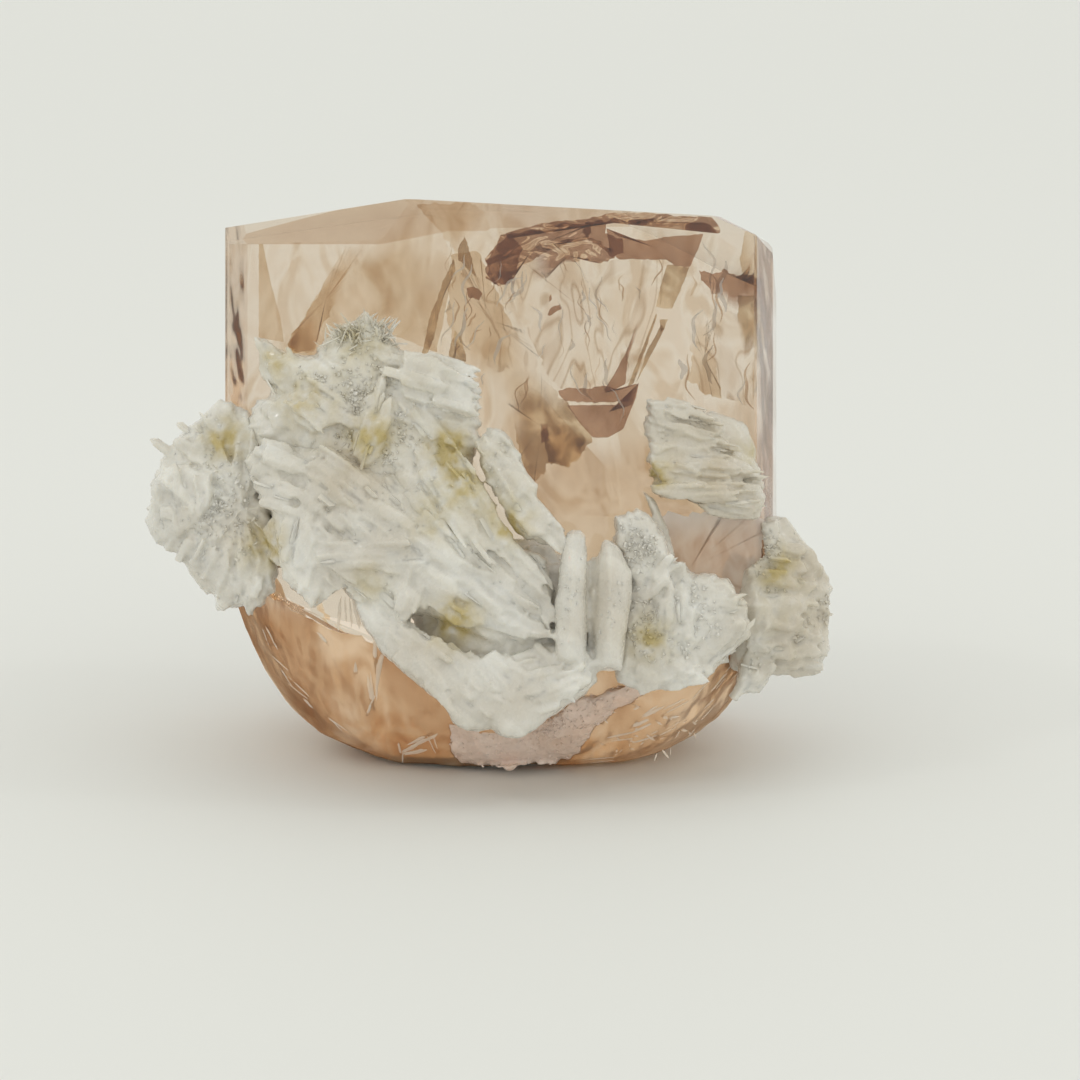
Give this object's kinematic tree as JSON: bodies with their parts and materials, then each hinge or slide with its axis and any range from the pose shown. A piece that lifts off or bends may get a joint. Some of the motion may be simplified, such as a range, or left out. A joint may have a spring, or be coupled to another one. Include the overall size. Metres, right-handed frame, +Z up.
{
  "type": "topaz crystal specimen",
  "caption": "Stubby see-through sherry topaz prism with a low termination and rounded broken base, half wrapped in white bladed albite, leaning back on a flat pad of mounting putty",
  "frame": {"origin": "the middle of the underside of the overall box, on the surface that the putty stands on", "axes": "+Z up, +X to the right as seen from the front, -Y towards the viewer"},
  "size_m": [0.0506, 0.0386, 0.0419],
  "materials": {
    "topaz": "clear pale sherry topaz, flat glassy faces, rough broken base",
    "albite": "white bladed albite, pearly and slightly translucent, yellow stain in the gaps",
    "crust": "fine-grained pinkish-white crust, matt with small glints",
    "putty": "pale grey mounting putty, matt and smooth"
  },
  "bodies": {
    "root": {"topaz_crystal": "topaz", "albite_mass": "albite", "albite_upper_right_fan": "albite", "base_crust": "crust", "display_putty": "putty"}
  },
  "joints": []
}
